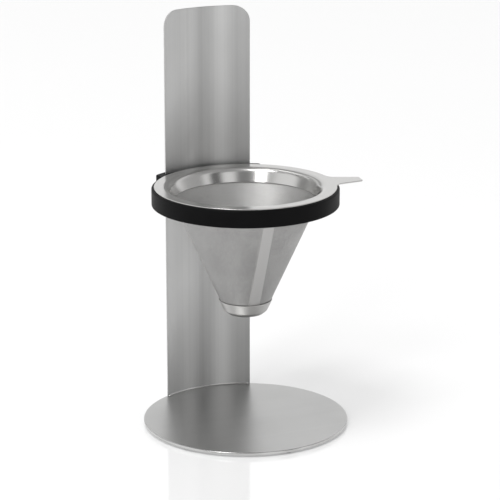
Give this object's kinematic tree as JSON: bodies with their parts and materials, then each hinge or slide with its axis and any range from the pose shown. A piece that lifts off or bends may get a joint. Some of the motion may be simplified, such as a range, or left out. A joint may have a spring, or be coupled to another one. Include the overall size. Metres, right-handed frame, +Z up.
{
  "type": "drip coffee maker",
  "caption": "Pour-over coffee stand: steel disc and curved upright, a black ring that slides up and down on it, and a lift-out stainless mesh cone filter with a pull tab.",
  "frame": {"origin": "centre of the base disc's upper face, where the cup stands, 3 mm above the table", "axes": "+Z up along the axis of the base disc, the ring and the filter; the upright stands at +Y; the user faces the maker from -Y; +X to the user's right"},
  "size_m": [0.1393, 0.1326, 0.2575],
  "materials": {
    "stand_steel": "satin brushed",
    "filter_steel": "satin, pressed",
    "mesh_steel": "fine woven wire",
    "holder_plastic": "matte, fine texture",
    "pad_rubber": "soft matte",
    "foot_rubber": "soft matte"
  },
  "bodies": {
    "stand": {"base_plate": "stand_steel", "upright": "stand_steel", "foot_front_right": "foot_rubber", "foot_rear_right": "foot_rubber", "foot_rear": "foot_rubber", "foot_rear_left": "foot_rubber", "foot_front_left": "foot_rubber", "foot_front": "foot_rubber"},
    "holder": {"holder_ring": "holder_plastic", "grip_pad_front_left": "pad_rubber", "grip_pad_front_right": "pad_rubber", "grip_pad_rear_left": "pad_rubber", "grip_pad_rear_right": "pad_rubber"},
    "filter": {"filter_collar": "filter_steel", "mesh_band": "filter_steel", "tip_cap": "filter_steel", "coarse_mesh": "mesh_steel", "fine_mesh": "mesh_steel"}
  },
  "joints": [
    {"name": "holder_height", "type": "slide", "parent": "stand", "child": "holder", "axis": [0, 0, 1], "range_m": [-0.066, 0.093]},
    {"name": "filter_lift", "type": "slide", "parent": "holder", "child": "filter", "axis": [0, 0, 1], "range_m": [0, 0.09]}
  ]
}
